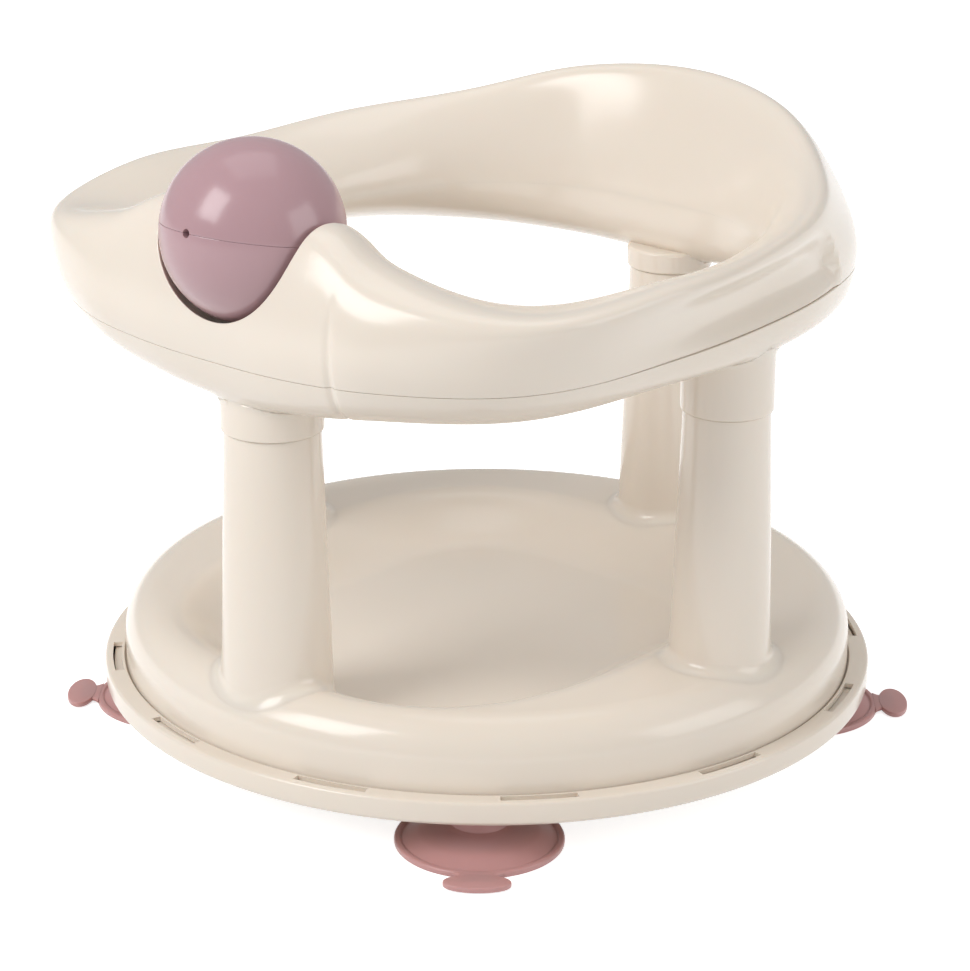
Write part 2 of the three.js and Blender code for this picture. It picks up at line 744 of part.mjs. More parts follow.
addPiece("base_tray", baseTray(), cream);
cupPlaces.forEach(({ azimuth, place }, i) => {
  addPiece(`suction_cup_${i + 1}`, moved(facing(suctionCup(), azimuth), place), pinkRubber);
});
addPiece("seat_disc", seatDisc(), cream);
addPiece("swivel_washer", swivelWasher(), steel);
addPiece("swivel_screw", swivelScrew(), steel);
addPiece("ring_lower_shell", ringLowerShell(), cream);
addPiece("ring_upper_shell", ringUpperShell(), creamLight);
addPiece("ball_upper_half", ballPiece(true), pink);
addPiece("ball_lower_half", ballPiece(false), pink);
addPiece("ball_axle", ballAxle(), steel);
for (const { name, azimuth, distance, joint, spigot } of posts) {
  addPiece(`post_screw_${name}`, screwUnder(azimuth, distance, joint + spigot - spigotCap), steel);
}
ringScrews.forEach(({ azimuth, distance }, i) => {
  addPiece(`ring_screw_${i + 1}`, screwUnder(azimuth, distance, ringScrewSeat - ringScrewFloor), steel);
});

// The object stands with the middle of its footprint on the origin: the ball reaches past the base.
model.position.y = (ballForward + ballRadius - baseRadius) / 2;

export default model;
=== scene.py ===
"""Baby bath ring: a seat disc that swivels on a tray with four suction cups, and carries a ring
with a play ball on four posts. Shapes are worked out in millimetres, as in the part's drawing."""

import bmesh
import bpy
import numpy as np
from mathutils import Matrix


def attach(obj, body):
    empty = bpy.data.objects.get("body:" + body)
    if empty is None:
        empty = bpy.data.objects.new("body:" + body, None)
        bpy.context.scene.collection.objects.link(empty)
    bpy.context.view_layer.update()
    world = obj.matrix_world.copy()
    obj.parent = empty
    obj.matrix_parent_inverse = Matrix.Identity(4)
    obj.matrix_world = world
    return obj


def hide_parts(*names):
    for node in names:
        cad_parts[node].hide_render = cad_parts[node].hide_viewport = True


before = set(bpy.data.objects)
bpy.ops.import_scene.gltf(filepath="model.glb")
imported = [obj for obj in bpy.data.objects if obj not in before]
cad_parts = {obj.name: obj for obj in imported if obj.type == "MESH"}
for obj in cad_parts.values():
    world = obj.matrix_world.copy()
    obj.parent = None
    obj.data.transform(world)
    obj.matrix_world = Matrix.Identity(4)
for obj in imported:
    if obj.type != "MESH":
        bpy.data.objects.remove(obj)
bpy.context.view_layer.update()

# Suction cups, four. Soft PVC moulded in one with a pull tab at the rim, to break the seal. The
# stem is pushed up through the tray's boss until its head snaps out above the plate.
axis_y = 5.1  # the swivel axis stands this far behind the origin
cup_count = 4
cup_azimuth = 39.36  # degrees from the front towards +X
cup_distance = 142.7
cup_profile = [  # radius, height, and the radius that the corner is rounded to
    (0, 10.5, 0), (9, 10.2, 3), (22, 6.2, 12), (32.6, 0.4, 3), (33.6, 0, 0.3), (35.6, 0, 0.5),
    (35.6, 2.7, 1.2), (33.2, 2.7, 0.9), (32.4, 1.9, 0.8), (25.2, 5.4, 14), (15, 8.4, 5),
    (12.3, 8.8, 0.8), (11.8, 15.4, 0.8), (5.6, 15.4, 0), (5.6, 23.5, 0), (9, 23.5, 0.6),
    (6, 29, 1), (0, 29, 0)]
tab_reach = 43  # from the cup's own axis to the middle of the tab
tab_length, tab_width, tab_thickness, tab_lift = 28, 13, 2.4, 0.6
neck_width, neck_flare, neck_start = 14.5, 3.2, 34.4


def filleted(corners, steps=5):
    """The line through [across, up, radius] corners with each one turned to an arc of its radius,
    which touches both sides and takes at most 0.45 of the shorter one."""
    points = np.array(corners, float)
    line = [points[:1, :2]]
    for before, (x, y, radius), after in zip(points[:-2], points[1:-1], points[2:]):
        corner = np.array([x, y])
        sides = np.array([before[:2] - corner, after[:2] - corner])
        lengths = np.linalg.norm(sides, axis=1)
        sides /= lengths[:, None]
        half = np.arccos(np.clip(sides[0] @ sides[1], -1, 1)) / 2
        reach = min(radius / np.tan(half) if radius else 0, 0.45 * lengths.min())
        if reach < 1e-4 or half > 1.56:
            line.append(corner[None])
            continue
        t = np.linspace(0, 1, steps + 1)[:, None]
        first, last = corner + sides[0] * reach, corner + sides[1] * reach
        weight = np.cos(np.pi / 2 - half)  # a conic with this weight is the circle's arc
        leave, bend, arrive = (1 - t) ** 2, 2 * t * (1 - t) * weight, t**2
        line.append((leave * first + bend * corner + arrive * last) / (leave + bend + arrive))
    line.append(points[-1:, :2])
    return np.concatenate(line)


def quads(rows, columns, round_rows=False, round_columns=True):
    """Corner numbers of the faces between neighbours of a grid of rows by columns. Round means
    that the last row or column is joined to the first."""
    i, j = np.meshgrid(
        np.arange(rows if round_rows else rows - 1),
        np.arange(columns if round_columns else columns - 1), indexing="ij")
    i, j = i.ravel(), j.ravel()
    below, beside = (i + 1) % rows, (j + 1) % columns
    corners = [(i, j), (i, beside), (below, beside), (below, j)]
    return np.stack([row * columns + column for row, column in corners], 1)


def polar(distance, azimuth, height):
    """Points at distances from the swivel axis and degrees from the front towards +X:
    x = distance sin azimuth, y = axis_y - distance cos azimuth."""
    angle = np.radians(azimuth)
    return np.stack(np.broadcast_arrays(
        distance * np.sin(angle), axis_y - distance * np.cos(angle), height), -1)


def turned(profile, azimuths):
    """A profile of (radius, height) turned about the vertical line through zero: point (i, j) is
    profile point i at azimuth j."""
    radius, height = profile[:, :1], profile[:, 1:]
    angle = np.radians(azimuths)[None]
    spot = radius * np.sin(angle), -radius * np.cos(angle), height
    return np.stack(np.broadcast_arrays(*spot), -1)


def moulded(name, *shells):
    """One mesh object from shells of (points in mm, quads). Points that coincide are joined, which
    closes poles, faces are turned outwards, and edges over 32 degrees stay sharp."""
    points = np.concatenate([shell[0].reshape(-1, 3) for shell in shells]) * 0.001
    counts = [shell[0].size // 3 for shell in shells]
    starts = np.concatenate([[0], np.cumsum(counts)[:-1]])
    faces = np.concatenate([shell[1] + start for shell, start in zip(shells, starts)])
    mesh = bpy.data.meshes.new(name)
    mesh.vertices.add(len(points))
    mesh.vertices.foreach_set("co", points.astype(np.float32).ravel())
    mesh.loops.add(faces.size)
    mesh.loops.foreach_set("vertex_index", faces.astype(np.int32).ravel())
    mesh.polygons.add(len(faces))
    mesh.polygons.foreach_set("loop_start", np.arange(0, faces.size, 4, dtype=np.int32))
    mesh.update(calc_edges=True)
    work = bmesh.new()
    work.from_mesh(mesh)
    bmesh.ops.remove_doubles(work, verts=work.verts, dist=2e-6)
    bmesh.ops.recalc_face_normals(work, faces=work.faces)
    work.to_mesh(mesh)
    work.free()
    mesh.shade_smooth()
    mesh.set_sharp_from_angle(angle=np.radians(32))
    piece = bpy.data.objects.new(name, mesh)
    bpy.context.scene.collection.objects.link(piece)
    return piece


def linear(code):
    """An sRGB hex colour as linear red, green, blue and full alpha."""
    shares = np.array([int(code[k:k + 2], 16) for k in (1, 3, 5)]) / 255
    low, high = shares / 12.92, ((shares + 0.055) / 1.055) ** 2.4
    return (*np.where(shares <= 0.04045, low, high), 1.0)


def add(tree, kind, links=(), **settings):
    """Adds a node. A setting is an input's value, or a property of the node. Each link is (input,
    output socket of another node)."""
    node = tree.nodes.new(kind)
    for key, value in settings.items():
        plain = key.replace("_", " ").capitalize()
        found = [s for s in node.inputs if s.name.lower() == plain.lower()]
        if hasattr(node, key):
            setattr(node, key, value)
        else:
            found[0].default_value = value
    for target, source in links:
        tree.links.new(source, node.inputs[target])
    return node


def moulded_plastic(name, colour, roughness, shade, wave_mm, wave_height_mm, sheen_depth, coat=0.0):
    """A glossy moulded plastic. Its colour drifts between two close shades over about 90 mm, its
    gloss drifts over 30 mm, and the skin waves by the given height over the given length, as a
    moulding does where it cooled unevenly."""
    material = bpy.data.materials.new(name)
    material.use_nodes = True
    tree = material.node_tree
    tree.nodes.clear()
    place = add(tree, "ShaderNodeTexCoord").outputs["Object"]
    drift = add(tree, "ShaderNodeTexNoise", [("Vector", place)], scale=1 / 0.09, detail=2.0)
    tint = add(tree, "ShaderNodeMix", [("Factor", drift.outputs["Fac"])], data_type="RGBA")
    tint.inputs["A"].default_value = linear(colour)
    tint.inputs["B"].default_value = linear(shade)
    gloss = add(tree, "ShaderNodeTexNoise", [("Vector", place)], scale=1 / 0.03, detail=3.0)
    rough = add(tree, "ShaderNodeMapRange", [("Value", gloss.outputs["Fac"])],
                to_min=roughness - 0.025, to_max=roughness + 0.025)
    wave = add(tree, "ShaderNodeTexNoise", [("Vector", place)], scale=1000 / wave_mm, detail=1.0)
    bump = add(tree, "ShaderNodeBump", [("Height", wave.outputs["Fac"])],
               distance=wave_height_mm * 0.001, strength=1.0)
    shader = add(tree, "ShaderNodeBsdfPrincipled", [
        ("Base Color", tint.outputs["Result"]), ("Roughness", rough.outputs["Result"]),
        ("Normal", bump.outputs["Normal"])], ior=1.5)
    shader.inputs["Subsurface Weight"].default_value = sheen_depth
    shader.inputs["Subsurface Radius"].default_value = (1.0, 0.55, 0.35)
    shader.inputs["Subsurface Scale"].default_value = 0.003
    shader.inputs["Coat Weight"].default_value = coat
    add(tree, "ShaderNodeOutputMaterial", [("Surface", shader.outputs["BSDF"])])
    return material


# Plasticised PVC, as pull-off suction cups are: satin, a little waxy, with light passing in.
pink_vinyl = moulded_plastic("pink_soft_vinyl", "#c69694", 0.34, "#c1918e", 9, 0.015, 0.2)
round_cup = np.arange(0, 360, 3.0)
cup_line = filleted(cup_profile)
cup_points = turned(cup_line, round_cup)

# The tab: an oval plate with rounded edges, and a waisted neck that joins it to the rim.
tab_angle = np.radians(np.arange(0, 360, 5.0))[None]
tab_edge = np.radians(np.linspace(-90, 90, 15))[:, None]
inset = (1 - np.abs(np.cos(tab_edge)) ** 0.5) * tab_thickness / 2
tab_rise = np.sign(np.sin(tab_edge)) * np.abs(np.sin(tab_edge)) ** 0.5 * tab_thickness / 2
closing = np.where(np.abs(tab_edge) > 1.57, 0.0, 1.0)
tab_points = np.stack(np.broadcast_arrays(
    closing * (tab_length / 2 - inset) * np.cos(tab_angle),
    closing * (tab_width / 2 - inset) * np.sin(tab_angle) - tab_reach,
    tab_lift + tab_thickness / 2 + tab_rise), -1)
along = np.linspace(0, 1, 21)[:, None]
round_neck = np.radians(np.arange(0, 360, 15.0))[None]
neck_half = neck_width / 2 + neck_flare * (2 * along - 1) ** 2
neck_points = np.stack(np.broadcast_arrays(
    neck_half * np.sign(np.cos(round_neck)) * np.abs(np.cos(round_neck)) ** 0.4,
    -neck_start - along * (tab_reach - neck_start),
    tab_lift + tab_thickness / 2
    + 0.42 * tab_thickness * np.sign(np.sin(round_neck)) * np.abs(np.sin(round_neck)) ** 0.6), -1)
neck_caps = [np.broadcast_to(neck_points[k].mean(0), neck_points[k].shape)[None] for k in (0, -1)]
neck_points = np.concatenate([neck_caps[0], neck_points, neck_caps[1]])

for k in range(cup_count):
    azimuth = cup_azimuth + k * 360 / cup_count
    turn = np.array(Matrix.Rotation(np.radians(azimuth), 3, "Z"))
    middle = polar(cup_distance, azimuth, 0.0)
    cup = moulded(
        f"cup_{k + 1}",
        (cup_points @ turn.T + middle, quads(*cup_points.shape[:2])),
        (tab_points @ turn.T + middle, quads(*tab_points.shape[:2])),
        (neck_points @ turn.T + middle, quads(*neck_points.shape[:2])))
    cup.data.materials.append(pink_vinyl)
    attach(cup, f"cup_{k + 1}")
    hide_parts(f"suction_cup_{k + 1}")

# Base tray. One polypropylene moulding: a flat plate with a low rim, whose ledge keeps the disc's
# flange down. The slots in the ledge let the mould's cores out. Bosses below take the cups.
cream = "#eae0d4"
window_azimuths = 47.94 + np.arange(12) * 30
window_half_angle = 5.5
window_inside, window_outside = 165.2, 169.1
ledge_top, ledge_under, plate_top = 31, 29, 23.2
tray_profile = [  # radius, height, and the radius that the corner is rounded to
    (12.5, 21, 0.3), (24, 21, 0.2), (24, 20.6, 0.2), (171, 20.6, 1.2), (172.5, 22.2, 1.2),
    (172.5, ledge_top, 1.4), (window_outside, ledge_top, 0), (window_inside, ledge_top, 0),
    (163.9, ledge_top, 0.5), (163.9, ledge_under, 0.3), (window_inside, ledge_under, 0),
    (window_outside, ledge_under, 0), (170, ledge_under, 0.3), (170, plate_top, 0.4),
    (165.8, plate_top, 0.2), (165.8, 26, 0.3), (163.4, 26, 0.3), (163.4, plate_top, 0.2),
    (12.5, plate_top, 0.3), (12.5, 22, 0)]
cup_boss = [(0, 16.2, 0), (10.4, 16.2, 0.6), (11, 17, 0.6), (13.6, 21.2, 0.8), (0, 21.2, 0)]

# Glossy polypropylene: close to opaque, with a soft broad gloss from a polished mould.
cream_plastic = moulded_plastic("cream_polypropylene", cream, 0.19, "#e8dccd", 45, 0.02, 0.1)
window_edges = (window_azimuths[:, None] + [-window_half_angle, window_half_angle]).ravel()
tray_azimuths = np.concatenate([np.arange(0, 360, 1.0), window_edges])
tray_azimuths = np.unique(np.round(tray_azimuths, 3) % 360)
tray_line = filleted(tray_profile, 4)[:-1]
tray_points = turned(tray_line, tray_azimuths) + [0, axis_y, 0]
count = len(tray_azimuths)
faces = quads(len(tray_line), count, round_rows=True).reshape(len(tray_line), count, 4)


def row_of(radius, height):
    """The tray profile's row at a corner that has no rounding."""
    return int(np.argmin(np.hypot(tray_line[:, 0] - radius, tray_line[:, 1] - height)))


inside_top, outside_top = row_of(window_inside, ledge_top), row_of(window_outside, ledge_top)
inside_low, outside_low = row_of(window_inside, ledge_under), row_of(window_outside, ledge_under)
middles = (tray_azimuths + 0.01)[:, None]
off = np.abs((middles - window_azimuths + 180) % 360 - 180).min(1)
opened = off < window_half_angle
keep = np.ones(faces.shape[:2], bool)
keep[outside_top, opened] = False
keep[inside_low, opened] = False
column = np.arange(count)[opened]
beside = (column + 1) % count
walls = [np.stack([top * count + column, top * count + beside,
                   low * count + beside, low * count + column], 1)
         for top, low in ((inside_top, inside_low), (outside_top, outside_low))]
ends = np.concatenate([column[~np.isin(column - 1, column)], beside[~np.isin(beside, column)]])
walls.append(np.stack([inside_top * count + ends, outside_top * count + ends,
                       outside_low * count + ends, inside_low * count + ends], 1))
boss = turned(filleted(cup_boss), np.arange(0, 360, 7.5))
bosses = []
for k in range(cup_count):
    spot = boss + polar(cup_distance, cup_azimuth + k * 360 / cup_count, 0.0)
    bosses.append((spot, quads(*boss.shape[:2])))
tray = moulded("tray", (tray_points, np.concatenate([faces[keep], *walls])), *bosses)
tray.data.materials.append(cream_plastic)
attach(tray, "base")
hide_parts("base_tray")

# Seat disc. One polypropylene moulding that turns on the tray: a shallow dish in the shape of a
# rounded square, a drawn-down edge with a flange under the tray's ledge, and four hollow posts.
seat_radius, seat_top, seat_wall, shoulder = 163, 60, 2.6, 17
dish_side, dish_front, dish_power = 113, 144, 2.85
dish_depth, dish_slope = 18.5, 40
posts = [  # azimuth, distance, radius at the joint, height of the joint, height of the spigot
    (0, 136, 20.2, 168, 13), (90, 130.5, 18.4, 171, 13),
    (180, 130.5, 18.4, 180, 7), (270, 130.5, 18.4, 171, 13)]
post_flare = 3.4
foot_blend = 6  # reach of the fillet between a post's foot and the disc
edge_margin = 0.7  # what the fillet leaves free of the disc's edge
spigot_step = 2.2


def smooth(t):
    """Zero up to 0, one from 1, and 3 t^2 - 2 t^3 between."""
    t = np.clip(t, 0, 1)
    return t * t * (3 - 2 * t)


def seat_height(distance, azimuth):
    """Height of the disc's top: level, less the dish's depth times a smooth step that runs over the
    slope's width inwards from the dish's edge, which is a superellipse, longer in front, and less
    the fall of a quarter circle at the shoulder."""
    ahead, across = np.cos(np.radians(azimuth)), np.abs(np.sin(np.radians(azimuth)))
    along = np.abs(ahead) / np.where(ahead > 0, dish_front, dish_side)
    edge = ((across / dish_side) ** dish_power + along**dish_power) ** (-1 / dish_power)
    past = np.clip(distance - seat_radius + shoulder, 0, shoulder)
    fall = shoulder - np.sqrt(shoulder**2 - past**2)
    return seat_top - dish_depth * smooth((edge - distance) / dish_slope) - fall


def blended(gap, reach):
    """How far two surfaces that meet in a fillet move off their own shape, (reach - gap)^2 over 4
    reach, and the share of the other surface's direction there, (reach - gap) over 2 reach."""
    near = np.clip(reach - np.abs(gap), 0, None)
    return near**2 / (4 * reach), near / (2 * reach)


def shifted(points, own, other, gap, reach):
    """Points moved along the mix of both surfaces' directions, so that the two meet in a fillet."""
    height, share = blended(gap, reach)
    mix = own * (1 - share)[..., None] + other * share[..., None]
    return points + mix * (height / np.maximum((mix**2).sum(-1), 0.2))[..., None]


disc_azimuths = np.arange(0, 360, 1.5)[None]
flat_radius = np.concatenate([
    [0], np.linspace(3, 60, 16), np.linspace(62, seat_radius - shoulder - 1, 70)])
shoulder_angle = np.radians(np.linspace(0, 90, 25))
shoulder_radius = seat_radius - shoulder * (1 - np.sin(shoulder_angle))
top_radius = np.concatenate([flat_radius, shoulder_radius])[:, None]
top_radius = np.broadcast_to(top_radius, (top_radius.size, disc_azimuths.size))
disc_top = polar(top_radius, disc_azimuths, seat_height(top_radius, disc_azimuths))
step = 0.5
further = seat_height(top_radius + step, disc_azimuths)
nearer = seat_height(top_radius - step, disc_azimuths)
slope_angle = np.arctan(-(further - nearer) / (2 * step))
slope_angle[len(flat_radius):] = shoulder_angle[:, None]
upwards = polar(np.sin(slope_angle), disc_azimuths, np.cos(slope_angle)) - [0, axis_y, 0]
disc_under = disc_top - upwards * seat_wall
rim_line = filleted([(163, 42, 0), (163, 28.5, 0.6), (168.5, 28.5, 0.4), (168.5, 26.3, 0.4),
                     (160.4, 26.3, 0.3), (160.4, 42, 0)], 10)
rim = turned(rim_line, disc_azimuths[0]) + [0, axis_y, 0]
disc = np.concatenate([disc_top, rim, disc_under[::-1][::3]])  # the underside is coarser
disc_shells = [(disc, quads(*disc.shape[:2]))]
hub_radius, hub_bottom, screw_hole, hole_top = 12, 20.7, 3.1, 35.7
hub_line = filleted([
    (0, 39.5, 0), (hub_radius, 39.5, 0), (hub_radius, hub_bottom, 0.5),
    (screw_hole, hub_bottom, 0.3), (screw_hole, hole_top, 0), (0, hole_top, 0)])
hub = turned(hub_line, np.arange(0, 360, 7.5)) + [0, axis_y, 0]
disc_shells.append((hub, quads(*hub.shape[:2])))


def on_disc(post_middle, angle, reach):
    """Points of the disc's top at a reach from a post's axis, in a direction round the post."""
    spot = turned(np.array([[1.0, 0.0]]), angle)[0] * reach[..., None] + post_middle
    from_axis = spot - [0, axis_y, 0]
    bearing = np.degrees(np.arctan2(from_axis[..., 0], -from_axis[..., 1]))
    spot[..., 2] = seat_height(np.hypot(from_axis[..., 0], from_axis[..., 1]), bearing)
    return spot


around = np.arange(0, 360, 3.6)
for azimuth, distance, radius, joint, spigot in posts:
    # A post tapers from its foot to the joint, then steps in to the spigot that fills the collar.
    # The foot runs out on to the disc along a Hermite curve, which stops short of the disc's edge:
    # P(t) = (2t^3 - 3t^2 + 1) A + (t^3 - 2t^2 + t) TA + (3t^2 - 2t^3) B + (t^3 - t^2) TB.
    middle = polar(distance, azimuth, 0.0)
    out = turned(np.array([[1.0, 0.0]]), around)[0]
    foot = np.full(around.size, radius + post_flare)
    ahead = distance * np.cos(np.radians(around - azimuth))
    limit = np.sqrt(ahead**2 - distance**2 + (seat_radius - edge_margin) ** 2) - ahead
    reach = ((foot + foot_blend) ** -8.0 + limit**-8.0) ** (-1 / 8)
    landing = on_disc(middle, around, reach)
    along_disc = on_disc(middle, around, reach + step) - on_disc(middle, around, reach - step)
    along_disc /= np.linalg.norm(along_disc, axis=-1, keepdims=True)
    start_height = on_disc(middle, around, foot)[:, 2] + 0.9 * foot_blend
    climb = np.linspace(0, 1, 60)[:, None] ** 1.5
    height = start_height + (joint - 0.7 - start_height) * climb
    taper = radius + post_flare * np.clip((joint - height) / (joint - seat_top), 0, 1)
    column = out * taper[..., None] + middle
    column[..., 2] = height
    pull = 1.2 * np.linalg.norm(landing - column[0], axis=-1, keepdims=True)
    t = np.linspace(1, 0, 25)[:-1, None, None]
    fillet = ((2 * t**3 - 3 * t**2 + 1) * column[0] - (t**3 - 2 * t**2 + t) * pull * [0, 0, 1]
              + (3 * t**2 - 2 * t**3) * landing + (t**3 - t**2) * pull * along_disc)
    sunk = np.stack([on_disc(middle, around, reach * share) for share in (0, 0.25, 0.5, 0.75, 1)])
    head_line = filleted([
        (radius, joint - 0.8, 0), (radius, joint, 0.7), (radius - spigot_step, joint, 0.3),
        (radius - spigot_step, joint + spigot, 1), (0, joint + spigot, 0)])
    head = turned(head_line[1:], around) + middle
    post = np.concatenate([sunk - [0, 0, seat_wall / 2], fillet, column, head])
    disc_shells.append((post, quads(*post.shape[:2])))
seat = moulded("seat_disc_and_posts", *disc_shells)
seat.data.materials.append(cream_plastic)
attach(seat, "seat")
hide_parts("seat_disc")

# Swivel washer and screw, and all the other screws and the ball's axle. Stainless steel, because
# the water stays on them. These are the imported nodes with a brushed, turned finish.
turned_steel = bpy.data.materials.new("turned_stainless_steel")
turned_steel.use_nodes = True
steel = turned_steel.node_tree
steel.nodes.clear()
steel_place = add(steel, "ShaderNodeTexCoord").outputs["Object"]
# Turning marks about 0.4 mm apart, drawn as fine noise stretched flat around the screws' height.
marks_place = add(steel, "ShaderNodeMapping", [("Vector", steel_place)])
marks_place.inputs["Scale"].default_value = (120, 120, 2500)
marks = add(steel, "ShaderNodeTexNoise", [("Vector", marks_place.outputs["Vector"])],
            scale=1.0, detail=2.0)
steel_rough = add(steel, "ShaderNodeMapRange", [("Value", marks.outputs["Fac"])],
                  to_min=0.24, to_max=0.42)
steel_bump = add(steel, "ShaderNodeBump", [("Height", marks.outputs["Fac"])], distance=0.00002)
steel_shader = add(steel, "ShaderNodeBsdfPrincipled", [
    ("Roughness", steel_rough.outputs["Result"]),
    ("Normal", steel_bump.outputs["Normal"])], metallic=1.0)
steel_shader.inputs["Base Color"].default_value = linear("#c3c4c6")
add(steel, "ShaderNodeOutputMaterial", [("Surface", steel_shader.outputs["BSDF"])])
for node in ("swivel_washer", "swivel_screw", "ball_axle", "post_screw_front", "post_screw_right",
             "post_screw_back", "post_screw_left", "ring_screw_1", "ring_screw_2", "ring_screw_3",
             "ring_screw_4"):
    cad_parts[node].data.materials.clear()
    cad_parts[node].data.materials.append(turned_steel)

# Ring, lower shell. A polypropylene moulding that closes the ring from below, with four collars
# that slip over the posts' spigots, and is screwed to the upper shell from underneath.
ring_radius, seam_height, ring_rise, ring_wall = 188, 205, 67, 2.6
station_angles = np.array([0, 17, 25, 45, 67.5, 90, 112.5, 135, 157.5, 180])
reach_shares = np.array([  # one row for each corner of the section, one column for each station
    [0.888, 0.925, 0.957, 0.97, 0.85, 0.798, 0.803, 0.862, 0.9, 0.91],  # outer parting
    [0.894, 0.936, 0.975, 0.985, 0.86, 0.782, 0.798, 0.851, 0.9, 0.91],  # waist
    [0.856, 0.894, 0.935, 1, 0.895, 0.793, 0.782, 0.798, 0.846, 0.867],  # roll
    [0.755, 0.782, 0.803, 0.867, 0.809, 0.766, 0.755, 0.75, 0.75, 0.755],  # crest
    [0.521, 0.585, 0.66, 0.702, 0.665, 0.628, 0.649, 0.686, 0.702, 0.691],  # inner slope
    [0.5, 0.564, 0.628, 0.676, 0.612, 0.585, 0.601, 0.638, 0.649, 0.633],  # inner parting
    [0.553, 0.596, 0.649, 0.713, 0.66, 0.644, 0.665, 0.691, 0.681, 0.649],  # inner keel
    [0.82, 0.85, 0.88, 0.895, 0.825, 0.793, 0.798, 0.824, 0.84, 0.835]])  # outer keel
rise_shares = np.array([
    [0.015, 0.03, 0.045, 0.06, 0.09, 0.12, 0.105, 0.075, 0.03, 0.015],
    [0.254, 0.254, 0.254, 0.254, 0.254, 0.254, 0.254, 0.284, 0.343, 0.373],
    [0.67, 0.7, 0.61, 0.5, 0.54, 0.493, 0.537, 0.557, 0.665, 0.701],
    [0.885, 0.88, 0.69, 0.46, 0.53, 0.552, 0.627, 0.735, 0.95, 1.025],
    [0.66, 0.53, 0.44, 0.358, 0.343, 0.343, 0.418, 0.537, 0.627, 0.657],
    [0.104, 0.104, 0.104, 0.104, 0.104, 0.104, 0.104, 0.104, 0.104, 0.104],
    [-0.26, -0.245, -0.239, -0.209, -0.119, -0.06, -0.07, -0.139, -0.225, -0.27],
    [-0.38, -0.31, -0.25, -0.2, -0.13, -0.14, -0.16, -0.24, -0.284, -0.299]])
section_growth = 1.045  # makes up for what the smoothing along the section takes off
crease_azimuth, crease_width, crease_depth = 20.2, 0.6, 0.8
recess_depth, recess_start, recess_end = 5, 66, 117
recess_fade, recess_turn = 28, 11  # degrees over which it fades in and its far end rounds off
recess_low, recess_high = 0.7, 1.3  # rows: where it starts to close upwards, and over how many
collar_step = 1.2
outer_edge, inner_edge = 0.35, 0.02  # roundings of the shells' edges at the parting
seam_gap = 0.12  # between the shells on the outside; inside they touch
lid_under, lid_top, lid_hole, lid_inside = 186.9, 189.9, 5.5, 187.3  # on the back collar


for shares in (reach_shares, rise_shares):
    middle = shares.mean(0)
    shares[:] = middle + section_growth * (shares - middle)


def weights(knots, at):
    """For a curve through values at uneven knots, with each tangent the slope between the two
    neighbours: the number of the first value used, and the four values' weights (cubic Hermite)."""
    i = np.clip(np.searchsorted(knots, at, side="right") - 1, 1, len(knots) - 3)
    span = knots[i + 1] - knots[i]
    t = (at - knots[i]) / span
    t2, t3 = t**2, t**3
    leaving = (t3 - 2 * t2 + t) * span / (knots[i + 1] - knots[i - 1])
    arriving = (t3 - t2) * span / (knots[i + 2] - knots[i])
    passing = 3 * t2 - 2 * t3
    return i - 1, np.stack([-leaving, 1 - passing - arriving, passing + leaving, arriving])


def spread_weights(knots, values, at, spread, count):
    """The weight of each value at a place on the curve through them, averaged over places around
    it: at 0, 1 and 2 times the spread to both sides, by 6, 4 and 1 parts in 16."""
    total = np.zeros((count, *np.shape(at)))
    for offset, part in zip((-2, -1, 0, 1, 2), (1, 4, 6, 4, 1)):
        first, shares = weights(knots, at + offset * spread)
        for k in range(4):
            for value in range(count):
                total[value] += np.where(values[first + k] == value, shares[k] * part / 16, 0)
    return total


def plain_skin(azimuth, row):
    """The ring's skin without its dents. Shares of the ring's radius and rise run smoothly through
    the stations round the ring, and through the eight corners round the closed section. Averaging
    over neighbouring rows and azimuths makes the section and the pod's corners round."""
    side = np.abs((azimuth + 180) % 360 - 180)
    knots = np.concatenate([[-25, -17], station_angles, [202.5, 225]])
    columns = np.concatenate([[2, 1], np.arange(10), [8, 7]])
    by_side = spread_weights(knots, columns, side, 1.8, 10)
    by_row = spread_weights(np.arange(-4.0, 13.0), np.arange(-4, 13) % 8, row, 0.4, 8)
    reach = (by_row * np.tensordot(reach_shares, by_side, 1)).sum(0)
    rise = (by_row * np.tensordot(rise_shares, by_side, 1)).sum(0)
    return polar(reach * ring_radius, azimuth, seam_height + rise * ring_rise)


def dent(azimuth, row):
    """Depth of the skin's dents: a trough along each arm of the upper shell, with a round far end,
    and a narrow groove at the pod's right, a bell curve across that fades out above the waist."""
    side = np.abs((azimuth + 180) % 360 - 180)
    nearest = (row + 4) % 8 - 4
    over = np.clip((side - recess_end + recess_turn) / recess_turn, 0, None)
    rounded = np.hypot(over, np.clip(nearest - recess_low, 0, None) / recess_high)
    ramp = 0.6 - 0.48 * smooth(over)
    deepening = 0.2 + 0.8 * smooth(nearest / 0.8)
    beginning = smooth((side - recess_start + recess_fade / 2) / recess_fade)
    trough = recess_depth * deepening * smooth((1 - rounded) / ramp) * beginning
    trough = np.where((row >= 0) & (row < 4), trough, 0)
    groove = np.exp(-(((azimuth - crease_azimuth) / crease_width) ** 2))
    length = smooth((nearest + 2.2) / 1.2) * smooth((2.0 - nearest) / 1.2)
    return trough + crease_depth * groove * length


def ring_normal(azimuth, row):
    """Outward direction of the skin, from small steps both ways."""
    turn = plain_skin(azimuth + 0.5, row) - plain_skin(azimuth - 0.5, row)
    across = plain_skin(azimuth, row + 0.02) - plain_skin(azimuth, row - 0.02)
    normal = np.cross(turn, across)
    return normal / np.linalg.norm(normal, axis=-1, keepdims=True)


